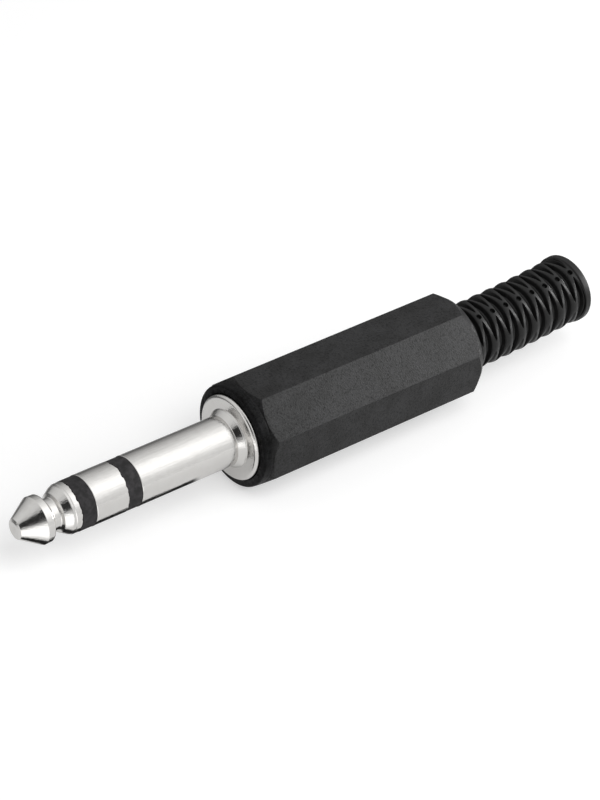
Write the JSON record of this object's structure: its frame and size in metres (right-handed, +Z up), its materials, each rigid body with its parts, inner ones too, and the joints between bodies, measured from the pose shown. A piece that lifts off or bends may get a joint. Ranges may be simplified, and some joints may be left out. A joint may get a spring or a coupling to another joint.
{
  "type": "stereo jack plug",
  "caption": "Stereo jack plug: banded metal contact barrel with a collar, faceted screw-on plastic handle and slotted strain relief boot.",
  "frame": {"origin": "bottom centre of the plug's box as it lies on one flat of its handle", "axes": "+X from the tip to the boot along the plug, +Z up"},
  "size_m": [0.0858, 0.0132, 0.0131],
  "materials": {
    "nickel_plate": "bright nickel plate on turned brass",
    "tinned_brass": "tin plate on stamped brass, satin",
    "band_plastic": "matte charcoal plastic",
    "washer_fibre": "matte brown fibre board",
    "handle_plastic": "matte black moulded plastic, fine grain",
    "boot_plastic": "black soft plastic with a slight gloss"
  },
  "bodies": {
    "plug_body": {"tip_contact": "nickel_plate", "tip_insulator": "band_plastic", "ring_contact": "nickel_plate", "ring_insulator": "band_plastic", "sleeve_contact": "nickel_plate", "cable_clamp": "tinned_brass", "clamp_insulating_washer": "washer_fibre", "ring_lug": "tinned_brass", "lug_spacer_washer": "washer_fibre", "tip_lug": "tinned_brass"},
    "boot": {"strain_relief_boot": "boot_plastic"},
    "handle": {"handle": "handle_plastic"}
  },
  "joints": [
    {"name": "handle_travel", "type": "slide", "parent": "plug_body", "child": "boot", "axis": [1, 0, 0], "range_m": [0, 0.0061]},
    {"name": "handle_turn", "type": "hinge", "parent": "boot", "child": "handle", "pos_m": [0.01, 0, 0.00655], "axis": [1, 0, 0], "range_deg": [0, 2160]}
  ],
  "couplings": [
    {"joint": "handle_travel", "follows": "handle_turn", "m_per_rad": 0.00015915}
  ]
}
